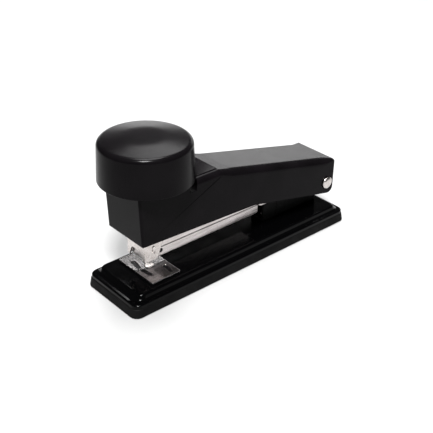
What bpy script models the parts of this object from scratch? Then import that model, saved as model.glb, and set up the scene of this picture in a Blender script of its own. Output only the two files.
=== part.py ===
"""Desk stapler with a round palm knob: a long pressed-steel base, an arm hinged on a cross pin
at the rear, a spring-loaded follower in a steel magazine, and a plunger that drives the staples.

Every size below is in millimetres; add_object() turns the finished meshes into metres.
The nose points along -Y, the top along +Z, and the origin is the centre of the base's underside.
"""
import bmesh
import bpy
from math import atan2, ceil, cos, pi, radians, sin, sqrt, tan
from mathutils import Matrix, Vector

METRES = 0.001          # one millimetre in metres
GAP = 0.3               # clearance left between pieces that touch

# ---- base ----
BASE_LENGTH = 184.0
BASE_WIDTH = 50.8
BASE_CORNER = 5.3       # plan radius of the base's corners
TRAY_HEIGHT = 5.8       # top of the visible skirt
TRAY_FLOOR = 2.0
TRAY_FOOT = 0.5         # chamfer round the underside
TRAY_DRAFT = 0.8        # how far the skirt leans in
TRAY_LIP = 1.0          # ridge that locates the pan, above the skirt
TRAY_LIP_WALL = 1.4
PAN_FLANGE = 2.4        # height of the pan's outer flange
PAN_SHEET = 1.0
PAN_TOP = 12.3          # height of the platform
PAN_INSET = 5.3         # from the base's side to the platform's edge
PAN_END_STRETCH = 1.5   # the slope is this much longer at the ends than at the sides

# ---- anvil ----
ANVIL_FROM_FRONT = 29.8  # base's front end to the centre of the anvil and its post
ANVIL_WIDTH = 34.4
ANVIL_DEPTH = 21.6
ANVIL_SHEET = 1.5
ANVIL_EDGE = 0.25       # chamfer round the plate's top
ANVIL_HEAD_RECESS = 0.8  # the post's head lies sunk in the plate
ANVIL_POCKET = 0.6
POCKET_FROM_EDGE = 4.4  # plate's edge to the middle of a pair of pockets
POCKET_R = 1.4
ANVIL_POST_R = 2.3
ANVIL_HEAD_R = 3.1
ANVIL_BUTTON_R = 6.0
ANVIL_BUTTON_Z = 1.0    # underside of the button that turns the anvil loose
ANVIL_BUTTON_HEIGHT = 2.0
ANVIL_SPRING_R = 4.2
ANVIL_SPRING_WIRE = 0.8

# ---- hinge ----
PIN_FROM_REAR = 14.3    # base's rear end to the hinge pin
PIN_Z = 31.1
PIN_R = 2.0
PIN_HEAD_R = 4.3
PIN_HEAD_HEIGHT = 1.7
PIN_HEAD_RIM = 0.4      # upright rim under the head's dome
EAR_WALL = 2.0          # metal round the pin's hole in the bracket's and the frame's ears
BUSH_WALL = 1.5
BRACKET_LENGTH = 48.7   # bracket's front end to the pin
BRACKET_BEHIND_PIN = 2.2
BRACKET_SHEET = 1.5
BRACKET_SIDE_GAP = 1.05  # between the bracket and the frame's walls
BRACKET_TOP_FRONT = 33.6
BRACKET_TOP_REAR = 33.0
LIFT_SPRING_FROM_PIN = 27.7
LIFT_SPRING_WIRE = 0.9
BRACKET_RIVET_SPACING = 28.0
RIVET_R = 1.6           # shank of the small rivets in the base, nose and driver
RIVET_HEAD_R = 3.0
RIVET_HEAD_HEIGHT = 1.1

# ---- arm ----
ARM_WIDTH = 34.4
ARM_WALL = 1.6
ARM_EDGE_R = 2.0        # rounding of the long top edges; smaller than both corner radii
REAR_TOP_R = 2.4        # rounding of the arm's rear corners in side view
REAR_BOTTOM_R = 4.4
HEAD_EDGE_R = 1.4       # rounding of the head's upright front edges
HEAD_BEFORE_KNOB = 16.25  # front face of the head at its lower edge, before the knob's axis
HEAD_LEAN = 2.2         # how far the front face leans forward over the tower's height
HEAD_BOTTOM_Z = 40.9
ARM_BREAK_BEFORE_PIN = 68.1  # where the lower edge starts to fall to the rear
ARM_BREAK_Z = 37.5
ARM_BEHIND_PIN = 6.8
ARM_REAR_BOTTOM_Z = 21.0
ARM_REAR_TOP_Z = 47.2
COVER_BEHIND_KNOB = 42.95  # front end of the raised rear cover, behind the knob's axis
COVER_FRONT_Z = 71.7
COVER_RAMP = 9.7        # length of the cover's short front ramp
COVER_BREAK_Z = 68.9
DECK_RECESS = 1.3       # depth of the recess for the deck plate in the head's shoulder
DECK_SHEET = 1.6
DECK_MARGIN = 4.0       # side of the arm to the deck plate
DECK_WELL_GAP = 0.6     # well's edge to the deck plate
REAR_WALL_BOTTOM = 36.2

# ---- knob and plunger ----
KNOB_BEFORE_ANVIL = 0.65  # axis of the knob and the plunger, before the anvil's centre
KNOB_R = 28.8           # at the rim
KNOB_DRAFT = 1.1        # the knob is this much narrower at the top of its side
KNOB_WALL = 1.8
KNOB_RIM_Z = 74.9
KNOB_SIDE_TOP = 96.6
KNOB_EDGE_R = 3.4
KNOB_CROWN = 1.6
KNOB_ROOF = 94.8        # underside of the knob's roof
TRAVEL = 8.0            # stroke of the knob
TOWER_SLIDE_GAP = 0.4   # between the tower and the narrowest inside of the knob
WELL_SLIDE_GAP = 0.8    # between the knob's rim and the well
WELL_DEPTH_SPARE = 1.9  # what is left of the well under the pressed knob
STEM_R = 5.0
STEM_BLOCK_HEIGHT = 8.2
STEM_BLOCK_HALF = 7.0
STEM_BLOCK_SPARE = 2.2  # between the frame and the pressed driver block
STEM_PIN_R = 0.9
STEM_PIN_ABOVE_BOSS = 3.0  # height of the cross pin above the boss's foot
BOSS_WALL = 1.6
BOSS_LENGTH = 8.8
GUIDE_LEG_BOTTOM = 41.6
SPRING_WELL_R = 11.3
SPRING_WELL_DEPTH = 17.7
RETURN_WIRE = 1.4
DRIVER_RIVET_DEPTH = 6.0

# ---- nose and magazine ----
NOSE_BEFORE_ANVIL = 9.5  # front face of the nose, before the anvil's centre
NOSE_SHEET = 1.0
NOSE_BOTTOM = 22.9
NOSE_TOP = 47.0
NOSE_FOOT = 9.2         # length of a leg at its foot
NOSE_LENGTH = 13.7      # length of a leg above its knee
NOSE_KNEE_Z = 33.5
NOSE_MOUTH_SPARE = 0.5  # how much wider the mouth is than a staple
NOSE_MOUTH_HEIGHT = 4.6
NIB_R = 1.1
NIB_RISE = 0.5          # how far the nib stands out from a leg
NIB_HEIGHTS = (6.2, 9.2)  # centres of the nib's two ends, above the nose's foot
BLADE_SHEET = 0.6
MAGAZINE_WIDTH = 15.3
MAGAZINE_SHEET = 0.9
MAGAZINE_TO_BRACKET = 7.5  # magazine's rear end to the bracket
CHANNEL_HEIGHT = 6.3
CHANNEL_HOLE_R = 1.5
CHANNEL_HOLE_DROP = 2.1  # channel's upper edge to the hole's centre
FRAME_TOP = 37.8
STAPLE_LEG = 6.5
STAPLE_WIRE = 0.5
STAPLE_CORE_GAP = 0.6
FOLLOWER_SPRING_ROOM = 30.9  # left for the spring behind a full strip and the follower
FOLLOWER_LENGTH = 10.0
FOLLOWER_TOP = 36.3
FOLLOWER_WIRE = 0.5
ROD_R = 1.0
ROD_Z = 33.3
ROD_SETBACK = 12.0      # magazine's front to the rod's front end
END_BLOCK = 5.2

# ---- what follows from the sizes above ----
HALF_WIDTH = BASE_WIDTH / 2
HALF_LENGTH = BASE_LENGTH / 2
HALF_ARM = ARM_WIDTH / 2
HALF_MAGAZINE = MAGAZINE_WIDTH / 2
ANVIL_Y = ANVIL_FROM_FRONT - HALF_LENGTH
PIN_Y = HALF_LENGTH - PIN_FROM_REAR
KNOB_Y = ANVIL_Y - KNOB_BEFORE_ANVIL
PAN_BOTTOM = TRAY_HEIGHT + GAP
PAN_UNDERSIDE = PAN_TOP - PAN_SHEET
ANVIL_BOTTOM = PAN_TOP + GAP
ANVIL_TOP = ANVIL_BOTTOM + ANVIL_SHEET
EAR_R = PIN_R + EAR_WALL
BUSH_R = PIN_R + BUSH_WALL
BRACKET_FRONT = PIN_Y - BRACKET_LENGTH
BRACKET_BOTTOM = PAN_TOP + GAP
FLANGE_TOP = BRACKET_BOTTOM + BRACKET_SHEET
HALF_BRACKET = HALF_MAGAZINE - MAGAZINE_SHEET - BRACKET_SIDE_GAP
LIFT_SPRING_Y = PIN_Y - LIFT_SPRING_FROM_PIN
HEAD_BOTTOM_Y = KNOB_Y - HEAD_BEFORE_KNOB
ARM_BREAK_Y = PIN_Y - ARM_BREAK_BEFORE_PIN
ARM_REAR_Y = PIN_Y + ARM_BEHIND_PIN
COVER_FRONT_Y = KNOB_Y + COVER_BEHIND_KNOB
COVER_BREAK_Y = COVER_FRONT_Y + COVER_RAMP
DECK_SEAT_Z = COVER_FRONT_Z - DECK_RECESS
TOWER_R = KNOB_R - KNOB_DRAFT - KNOB_WALL - TOWER_SLIDE_GAP
WELL_R = KNOB_R + WELL_SLIDE_GAP
WELL_FLOOR = KNOB_RIM_Z - TRAVEL - WELL_DEPTH_SPARE
TOWER_TOP = KNOB_ROOF - TRAVEL - 2.8
TOWER_REAR = KNOB_Y + sqrt(WELL_R ** 2 - HALF_ARM ** 2) - 0.5
FRAME_WEB = FRAME_TOP - MAGAZINE_SHEET
STEM_BLOCK_BOTTOM = FRAME_TOP + TRAVEL + STEM_BLOCK_SPARE
STEM_BLOCK_TOP = STEM_BLOCK_BOTTOM + STEM_BLOCK_HEIGHT
BOSS_BOTTOM = KNOB_ROOF - BOSS_LENGTH
GUIDE_BOTTOM = STEM_BLOCK_TOP + GAP
SPRING_WELL_FLOOR = TOWER_TOP - GAP - SPRING_WELL_DEPTH
NOSE_FRONT_Y = ANVIL_Y - NOSE_BEFORE_ANVIL
NOSE_INSIDE = NOSE_FRONT_Y + NOSE_SHEET
BLADE_FRONT = NOSE_INSIDE + GAP
BLADE_REAR = BLADE_FRONT + BLADE_SHEET
BLADE_BOTTOM = NOSE_BOTTOM + TRAVEL
MAGAZINE_FRONT = BLADE_REAR + GAP
MAGAZINE_REAR = BRACKET_FRONT - MAGAZINE_TO_BRACKET
CHANNEL_TOP = NOSE_BOTTOM + CHANNEL_HEIGHT
STAPLE_WIDTH = MAGAZINE_WIDTH - 2 * (MAGAZINE_SHEET + GAP)
STAPLE_FOOT = NOSE_BOTTOM + MAGAZINE_SHEET + GAP
STAPLE_TOP = STAPLE_FOOT + STAPLE_LEG
END_BLOCK_FRONT = MAGAZINE_REAR - END_BLOCK
STRIP_REAR = END_BLOCK_FRONT - FOLLOWER_SPRING_ROOM - FOLLOWER_LENGTH - 2 * GAP
NOSE_RIVET_PLACE = (NOSE_FRONT_Y + 7.0, (NOSE_TOP + GUIDE_LEG_BOTTOM) / 2)


# ---------------------------------------------------------------- materials
def add_material(name, colour, roughness, metallic):
    """A Principled material with one colour, roughness and metallic value."""
    material = bpy.data.materials.new(name)
    material.use_nodes = True
    shader = material.node_tree.nodes["Principled BSDF"]
    shader.inputs["Base Color"].default_value = (*colour, 1.0)
    shader.inputs["Roughness"].default_value = roughness
    shader.inputs["Metallic"].default_value = metallic
    return material


# ---------------------------------------------------------------- mesh tools
def add_object(name, shape, material, origin=(0, 0, 0), smooth_angle=35):
    """Link a mesh made in millimetres as an object in metres, with its origin where asked."""
    bmesh.ops.recalc_face_normals(shape, faces=shape.faces)
    bmesh.ops.transform(shape, matrix=Matrix.Translation(-Vector(origin)), verts=shape.verts)
    bmesh.ops.scale(shape, vec=(METRES,) * 3, verts=shape.verts)
    mesh = bpy.data.meshes.new(name)
    shape.to_mesh(mesh)
    shape.free()
    mesh.shade_smooth()
    mesh.set_sharp_from_angle(angle=radians(smooth_angle))
    thing = bpy.data.objects.new(name, mesh)
    thing.location = Vector(origin) * METRES
    if material:
        mesh.materials.append(material)
    bpy.context.scene.collection.objects.link(thing)
    return thing


def cut(target, shape, operation="DIFFERENCE"):
    """Cut a shape out of an object, or join it on, with a live Boolean modifier."""
    number = len(target.modifiers) + 1
    cutter = add_object(f"{target.name}_cutter_{number}", shape, None)
    cutter.hide_render = True
    cutter.display_type = "WIRE"
    modifier = target.modifiers.new(cutter.name, "BOOLEAN")
    modifier.operation = operation
    modifier.solver = "EXACT"
    modifier.object = cutter


def add_faces(shape, rings, closed=True):
    """Join rings of equal length with quads; cap the first and last when not closed."""
    loops = [[shape.verts.new(point) for point in ring] for ring in rings]
    count = len(loops[0])
    pairs = list(zip(loops, loops[1:]))
    if closed:
        pairs.append((loops[-1], loops[0]))
    for low, high in pairs:
        for i in range(count):
            j = (i + 1) % count
            shape.faces.new((low[i], low[j], high[j], high[i]))
    if not closed:
        shape.faces.new(loops[0])
        shape.faces.new(loops[-1])
    return shape


def loft(rings):
    """A closed solid through rings of points, capped at both ends."""
    return add_faces(bmesh.new(), rings, closed=False)


def box(x0, x1, y0, y1, z0, z1):
    """A plain block between two corners."""
    low = [(x0, y0, z0), (x1, y0, z0), (x1, y1, z0), (x0, y1, z0)]
    return loft([low, [(x, y, z1) for x, y, z in low]])


def side_plate(outline, x0, x1):
    """A plate whose outline is drawn in the YZ plane, from x0 to x1."""
    return loft([[(x, y, z) for y, z in outline] for x in (x0, x1)])


def arc(centre, radius, start, end, steps):
    """Points on a circle from start to end, in degrees."""
    angles = [radians(start + (end - start) * i / steps) for i in range(steps + 1)]
    return [(centre[0] + radius * cos(a), centre[1] + radius * sin(a)) for a in angles]


def rounded_ring(half_x, half_y, radius, z, centre_y=0.0, steps=5):
    """A rectangle with round corners at one height."""
    ring = []
    for i, (sx, sy) in enumerate(((1, 1), (-1, 1), (-1, -1), (1, -1))):
        centre = (sx * (half_x - radius), centre_y + sy * (half_y - radius))
        ring += arc(centre, radius, 90 * i, 90 * i + 90, steps)
    return [(x, y, z) for x, y in ring]


def turned(profile, x=0.0, y=0.0, steps=32):
    """A solid of revolution about a vertical axis; the profile is (radius, height) points."""
    shape = bmesh.new()
    loops = []
    for radius, z in profile:
        if radius < 1e-6:
            loops.append([shape.verts.new((x, y, z))])
            continue
        points = [(x + radius * cos(2 * pi * i / steps), y + radius * sin(2 * pi * i / steps), z)
                  for i in range(steps)]
        loops.append([shape.verts.new(point) for point in points])
    for low, high in zip(loops, loops[1:] + loops[:1]):
        if len(low) == 1 and len(high) == 1:
            continue
        for i in range(steps):
            j = (i + 1) % steps
            corners = [low[i % len(low)], low[j % len(low)], high[j % len(high)], high[i % len(high)]]
            shape.faces.new(list(dict.fromkeys(corners)))
    return shape


def rod(radius, low, high, axis, across=(0.0, 0.0), steps=24):
    """A cylinder from low to high along an axis; across is its place on the other two axes."""
    profile = [(0, low), (radius, low), (radius, high), (0, high)]
    shape = turned(profile, steps=steps)
    return along(shape, axis, across)


def along(shape, axis, across):
    """Turn a shape made along Z to lie along X or Y, and move it to its place."""
    if axis == "X":
        turn = Matrix(((0, 0, 1, 0), (1, 0, 0, across[0]), (0, 1, 0, across[1]), (0, 0, 0, 1)))
    elif axis == "Y":
        turn = Matrix(((0, 1, 0, across[0]), (0, 0, 1, 0), (1, 0, 0, across[1]), (0, 0, 0, 1)))
    else:
        turn = Matrix.Translation((across[0], across[1], 0))
    bmesh.ops.transform(shape, matrix=turn, verts=shape.verts)
    return shape


def coil(radius, wire, low, high, turns, steps=12, sides=5):
    """A compression spring along Z: a wire swept on a helix whose end turns lie flat."""
    count = int(ceil(turns * steps))
    start = low + wire / 2
    rise = high - low - wire
    closed = 0.75
    rings = []
    for i in range(count + 1):
        turn = turns * i / count
        climb = min(max((turn - closed) / (turns - 2 * closed), 0.0), 1.0)
        z = start + wire * 1.05 * (min(turn, closed) + max(turn - turns + closed, 0.0)) \
            + (rise - 2 * closed * wire * 1.05) * climb
        a = 2 * pi * turn
        outward = Vector((cos(a), sin(a), 0))
        centre = outward * radius + Vector((0, 0, z))
        rings.append([centre + wire / 2 * (cos(b) * outward + sin(b) * Vector((0, 0, 1)))
                      for b in (2 * pi * k / sides for k in range(sides))])
    return loft(rings)


# ---------------------------------------------------------------- base
def inset_ring(inset, z, stretch=PAN_END_STRETCH):
    """The base's outline drawn in by an inset, which is longer at the two ends."""
    radius = max(BASE_CORNER - inset * 0.15, 1.0)
    return rounded_ring(HALF_WIDTH - inset, HALF_LENGTH - inset * stretch, radius, z)


def make_base_tray(material):
    """Moulded tray: the visible skirt, a floor and a ridge that sits inside the pan."""
    lip = TRAY_DRAFT + PAN_SHEET + 2 * GAP
    rings = [inset_ring(TRAY_FOOT, 0, 1), inset_ring(0, TRAY_FOOT, 1), inset_ring(TRAY_DRAFT, TRAY_HEIGHT, 1),
             inset_ring(lip, TRAY_HEIGHT), inset_ring(lip, TRAY_HEIGHT + TRAY_LIP),
             inset_ring(lip + TRAY_LIP_WALL, TRAY_HEIGHT + TRAY_LIP),
             inset_ring(lip + TRAY_LIP_WALL, TRAY_FLOOR)]
    tray = add_object("base_tray", loft(rings), material)
    cut(tray, rod(ANVIL_BUTTON_R + 1, -1, TRAY_FLOOR + 1, "Z", (0, ANVIL_Y)))


def pan_profile():
    """Inset and height of the pan's outer face, from the flange's foot to the platform."""
    foot = TRAY_DRAFT + 0.1
    top = PAN_BOTTOM + PAN_FLANGE
    rise = PAN_TOP - top
    slope = PAN_INSET - foot
    return [(foot, PAN_BOTTOM), (foot, top - 1.0), (foot + 0.3, top - 0.3), (foot + 1.0, top),
            (foot + 0.45 * slope, top + 0.05 * rise), (foot + 0.62 * slope, top + 0.22 * rise),
            (foot + 0.74 * slope, top + 0.55 * rise), (foot + 0.84 * slope, top + 0.85 * rise),
            (foot + 0.92 * slope, top + 0.96 * rise), (PAN_INSET, PAN_TOP)]


def make_base_pan(material):
    """Pressed steel pan: a flange, a hollow slope and a flat platform, one sheet thick."""
    outer = pan_profile()
    inner = [(inset + PAN_SHEET, max(z - PAN_SHEET, PAN_BOTTOM)) for inset, z in outer]
    rings = [inset_ring(*point) for point in reversed(inner)] + [inset_ring(*point) for point in outer]
    pan = add_object("base_pan", loft(rings), material)
    cut(pan, rod(ANVIL_POST_R + GAP, PAN_TOP - 4, PAN_TOP + 4, "Z", (0, ANVIL_Y)))
    for y in bracket_rivet_places():
        cut(pan, rod(RIVET_R + GAP, PAN_TOP - 4, PAN_TOP + 4, "Z", (0, y)))


def bracket_rivet_places():
    """The two rivets stand in front of and behind the lift spring."""
    return LIFT_SPRING_Y - BRACKET_RIVET_SPACING / 2, LIFT_SPRING_Y + BRACKET_RIVET_SPACING / 2


def make_bracket(material, rivet_material):
    """Folded steel bracket: a flange riveted to the pan and two walls that carry the hinge pin."""
    chamfer = 1.2
    wall = [(BRACKET_FRONT, BRACKET_BOTTOM), (PIN_Y + BRACKET_BEHIND_PIN, BRACKET_BOTTOM)]
    wall += arc((PIN_Y, PIN_Z), EAR_R, -10, 110, 8)
    wall += [(PIN_Y - 3 * EAR_R, BRACKET_TOP_REAR), (BRACKET_FRONT + chamfer, BRACKET_TOP_FRONT),
             (BRACKET_FRONT, BRACKET_TOP_FRONT - chamfer)]
    bracket = add_object("hinge_bracket", side_plate(wall, -HALF_BRACKET, HALF_BRACKET), material)
    inside = HALF_BRACKET - BRACKET_SHEET
    cut(bracket, box(-inside, inside, BRACKET_FRONT - 1, PIN_Y + 2 * EAR_R, FLANGE_TOP, PIN_Z + 20))
    cut(bracket, rod(PIN_R + GAP, -HALF_BRACKET - 1, HALF_BRACKET + 1, "X", (PIN_Y, PIN_Z)))
    for y in bracket_rivet_places():
        cut(bracket, rod(RIVET_R + GAP, BRACKET_BOTTOM - 1, FLANGE_TOP + 1, "Z", (0, y)))
    for name, y in zip(("front", "rear"), bracket_rivet_places()):
        top = FLANGE_TOP + GAP
        foot = PAN_UNDERSIDE - GAP
        half = [(0, RIVET_HEAD_HEIGHT), (0.8 * RIVET_HEAD_R, 0.75 * RIVET_HEAD_HEIGHT), (RIVET_HEAD_R, 0),
                (RIVET_R, 0)]
        profile = [(r, foot - z) for r, z in half] + [(r, top + z) for r, z in reversed(half)]
        add_object(f"bracket_rivet_{name}", turned(profile, 0, y, 20), rivet_material)


def make_hinge(pin_material, bush_material, spring_material):
    """Cross pin with two domed heads, two bushes beside the frame, and the arm's lift spring."""
    seat = HALF_ARM + GAP
    dome = PIN_HEAD_HEIGHT - PIN_HEAD_RIM
    crown = [(PIN_HEAD_R * cos(a), seat + PIN_HEAD_RIM + dome * sin(a))
             for a in (radians(18 * i) for i in range(6))]
    crown[-1] = (0.0, crown[-1][1])
    half = [(PIN_R, seat), (PIN_HEAD_R, seat)] + crown
    profile = [(r, -z) for r, z in reversed(half)] + half
    pin = along(turned(profile, steps=28), "X", (PIN_Y, PIN_Z))
    add_object("hinge_pin", pin, pin_material, (0, PIN_Y, PIN_Z))
    low = HALF_MAGAZINE + GAP
    high = HALF_ARM - ARM_WALL - GAP
    for name, sign in (("left", 1), ("right", -1)):
        ring = [(PIN_R + GAP, sign * low), (BUSH_R, sign * low), (BUSH_R, sign * high),
                (PIN_R + GAP, sign * high)]
        add_object(f"hinge_bush_{name}", along(turned(ring, steps=24), "X", (PIN_Y, PIN_Z)), bush_material)
    radius = HALF_BRACKET - BRACKET_SHEET - 2 * GAP - LIFT_SPRING_WIRE / 2
    spring = coil(radius, LIFT_SPRING_WIRE, FLANGE_TOP + GAP, FRAME_WEB - GAP, 7)
    add_object("lift_spring", along(spring, "Z", (0, LIFT_SPRING_Y)), spring_material)


# ---------------------------------------------------------------- anvil
def capsule(x, y, half, radius, z0, z1, turn=0.0):
    """An upright slot cutter with round ends, turned in plan by an angle in degrees."""
    points = arc((half, 0), radius, -90, 90, 8) + arc((-half, 0), radius, 90, 270, 8)
    a = radians(turn)
    plan = [(x + u * cos(a) - v * sin(a), y + u * sin(a) + v * cos(a)) for u, v in points]
    return loft([[(u, v, z) for u, v in plan] for z in (z0, z1)])


def make_anvil(plate_material, post_material, spring_material):
    """Turning anvil: a polished plate with two pairs of clinching pockets on a sprung post."""
    half_x = ANVIL_WIDTH / 2
    half_y = ANVIL_DEPTH / 2
    corner = 0.8
    rings = [rounded_ring(half_x, half_y, corner, ANVIL_BOTTOM, ANVIL_Y, 3),
             rounded_ring(half_x, half_y, corner, ANVIL_TOP - ANVIL_EDGE, ANVIL_Y, 3),
             rounded_ring(half_x - ANVIL_EDGE, half_y - ANVIL_EDGE, corner - ANVIL_EDGE, ANVIL_TOP,
                          ANVIL_Y, 3)]
    plate = add_object("anvil_plate", loft(rings), plate_material, (0, ANVIL_Y, ANVIL_BOTTOM))
    cut(plate, rod(ANVIL_POST_R + GAP, ANVIL_BOTTOM - 1, ANVIL_TOP + 1, "Z", (0, ANVIL_Y)))
    cut(plate, rod(ANVIL_HEAD_R + GAP, ANVIL_TOP - ANVIL_HEAD_RECESS, ANVIL_TOP + 1, "Z", (0, ANVIL_Y)))
    floor = ANVIL_TOP - ANVIL_POCKET
    reach = half_y - POCKET_FROM_EDGE
    clinch_in, clinch_out = 5.3, 10.4
    for sign in (1, -1):
        cut(plate, capsule(sign * clinch_in, ANVIL_Y - reach, 3.3, POCKET_R, floor, ANVIL_TOP + 1, sign * 9))
        cut(plate, capsule(sign * clinch_out, ANVIL_Y + reach, 3.2, POCKET_R, floor, ANVIL_TOP + 1,
                           sign * -6))
    button_top = ANVIL_BUTTON_Z + ANVIL_BUTTON_HEIGHT
    head = ANVIL_TOP - ANVIL_HEAD_RECESS + GAP
    profile = [(0, ANVIL_BUTTON_Z), (ANVIL_BUTTON_R - 0.5, ANVIL_BUTTON_Z),
               (ANVIL_BUTTON_R, ANVIL_BUTTON_Z + 0.5), (ANVIL_BUTTON_R, button_top),
               (ANVIL_POST_R, button_top), (ANVIL_POST_R, head), (ANVIL_HEAD_R, head),
               (ANVIL_HEAD_R - 0.3, ANVIL_TOP - 0.1), (ANVIL_HEAD_R * 0.5, ANVIL_TOP), (0, ANVIL_TOP)]
    post = turned(profile, 0, ANVIL_Y, 32)
    add_object("anvil_post", post, post_material, (0, ANVIL_Y, ANVIL_BUTTON_Z))
    spring = coil(ANVIL_SPRING_R, ANVIL_SPRING_WIRE, button_top + GAP, PAN_UNDERSIDE - GAP, 4)
    add_object("anvil_spring", along(spring, "Z", (0, ANVIL_Y)), spring_material)


# ---------------------------------------------------------------- arm
def front_face(z):
    """Y of the head's leaning front face at a height."""
    return HEAD_BOTTOM_Y - HEAD_LEAN * (z - HEAD_BOTTOM_Z) / (TOWER_TOP - HEAD_BOTTOM_Z)


def rounded_corner(before, corner, after, radius, steps=6):
    """Replace the corner of an outline by an arc that touches both of its sides."""
    p, c, n = Vector(before), Vector(corner), Vector(after)
    u = (p - c).normalized()
    v = (n - c).normalized()
    half = u.angle(v) / 2
    centre = c + (u + v).normalized() * (radius / sin(half))
    start = c + u * (radius / tan(half)) - centre
    end = c + v * (radius / tan(half)) - centre
    sweep = start.angle_signed(end)
    first = atan2(start.y, start.x)
    return [(centre.x + radius * cos(first - sweep * i / steps),
             centre.y + radius * sin(first - sweep * i / steps)) for i in range(steps + 1)]


def arm_outline(inset):
    """Side view of the arm from the head's lower front corner round to the rear, drawn in by inset."""
    slope = (COVER_BREAK_Z - ARM_REAR_TOP_Z) / (ARM_REAR_Y - COVER_BREAK_Y)
    rear = ARM_REAR_Y - inset
    rear_top = ARM_REAR_TOP_Z + slope * inset - inset * sqrt(1 + slope * slope)
    lower = [(front_face(HEAD_BOTTOM_Z) + inset, HEAD_BOTTOM_Z), (ARM_BREAK_Y, ARM_BREAK_Z)]
    bottom = rounded_corner(lower[-1], (rear, ARM_REAR_BOTTOM_Z), (rear, PIN_Z), REAR_BOTTOM_R - inset)
    top = rounded_corner((rear, PIN_Z), (rear, rear_top), (COVER_BREAK_Y, COVER_BREAK_Z - inset),
                         REAR_TOP_R - inset)
    cover = [(COVER_BREAK_Y, COVER_BREAK_Z - inset), (COVER_FRONT_Y + inset, COVER_FRONT_Z - inset)]
    return lower, bottom, top, cover


def make_arm_housing(material):
    """Moulded housing: head tower, sloping arm and side walls, open underneath."""
    lower, bottom, top, cover = arm_outline(0.0)
    outline = lower + bottom + top + cover
    outline += [(TOWER_REAR, COVER_FRONT_Z), (TOWER_REAR, TOWER_TOP), (front_face(TOWER_TOP), TOWER_TOP)]
    shape = side_plate(outline, -HALF_ARM, HALF_ARM)
    first = len(lower) + len(bottom)
    last = first + len(top) + len(cover)
    round_long_edges(shape, outline[first:last + 1], ARM_EDGE_R, 4)
    round_long_edges(shape, [outline[0], outline[-1]], HEAD_EDGE_R, 3)
    housing = add_object("arm_housing", shape, material, (0, PIN_Y, PIN_Z))
    cut(housing, rod(PIN_R + GAP, -HALF_ARM - 1, HALF_ARM + 1, "X", (PIN_Y, PIN_Z)))
    cut(housing, knob_well())
    half = HALF_ARM - DECK_MARGIN + GAP
    cut(housing, box(-half, half, TOWER_REAR + 0.1, COVER_FRONT_Y, DECK_SEAT_Z, COVER_FRONT_Z + 5))
    cut(housing, arm_cavity())


def knob_well():
    """Ring-shaped cutter that trims the tower round and opens the well for the knob's skirt."""
    ring = [(TOWER_R, WELL_FLOOR), (WELL_R, WELL_FLOOR), (WELL_R, TOWER_TOP + 5), (TOWER_R, TOWER_TOP + 5)]
    return turned(ring, 0, KNOB_Y, 64)


def round_long_edges(shape, path, radius, steps):
    """Bevel the edges of both side faces whose ends both lie on a path of (y, z) points."""
    def on_path(vertex):
        return any(abs(vertex.co.y - y) < 1e-4 and abs(vertex.co.z - z) < 1e-4 for y, z in path)

    chosen = [edge for edge in shape.edges
              if all(on_path(v) and abs(abs(v.co.x) - HALF_ARM) < 1e-4 for v in edge.verts)
              and edge.verts[0].co.x * edge.verts[1].co.x > 0]
    bmesh.ops.bevel(shape, geom=chosen, offset=radius, segments=steps, profile=0.5, affect="EDGES")


def arm_cavity():
    """The hollow inside the housing: one wall in, open below, above the tower and low at the rear."""
    lower, bottom, top, cover = arm_outline(ARM_WALL)
    rear = ARM_REAR_Y - ARM_WALL
    well_rear = KNOB_Y + WELL_R + ARM_WALL
    inside = HALF_ARM - ARM_WALL
    tower_rear = KNOB_Y + sqrt((TOWER_R - ARM_WALL) ** 2 - inside ** 2)
    below = ARM_REAR_BOTTOM_Z - 20
    outline = [(HEAD_BOTTOM_Y + ARM_WALL, below), (ARM_REAR_Y + 5, below),
               (ARM_REAR_Y + 5, REAR_WALL_BOTTOM), (rear, REAR_WALL_BOTTOM)] + top + cover
    outline += [(COVER_FRONT_Y + ARM_WALL, DECK_SEAT_Z - ARM_WALL), (well_rear, DECK_SEAT_Z - ARM_WALL),
                (well_rear, WELL_FLOOR - ARM_WALL), (tower_rear, WELL_FLOOR - ARM_WALL),
                (tower_rear, TOWER_TOP + 5), (front_face(TOWER_TOP + 5) + ARM_WALL, TOWER_TOP + 5),
                (HEAD_BOTTOM_Y + ARM_WALL, HEAD_BOTTOM_Z)]
    return side_plate(outline, -inside, inside)


def make_head_deck(material):
    """Plate let into the head's shoulder between the knob's well and the rear cover."""
    half = HALF_ARM - DECK_MARGIN
    rear = COVER_FRONT_Y - GAP
    reach = WELL_R + DECK_WELL_GAP
    steps = 8
    start = atan2(sqrt(reach ** 2 - half ** 2), half)
    curve = [(reach * cos(a), KNOB_Y + reach * sin(a))
             for a in (start + (pi - 2 * start) * i / steps for i in range(steps + 1))]
    plan = [(-half, rear), (half, rear)] + curve
    low = DECK_SEAT_Z + GAP
    rings = [[(x, y, z) for x, y in plan] for z in (low, low + DECK_SHEET)]
    add_object("head_deck", loft(rings), material)


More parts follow.
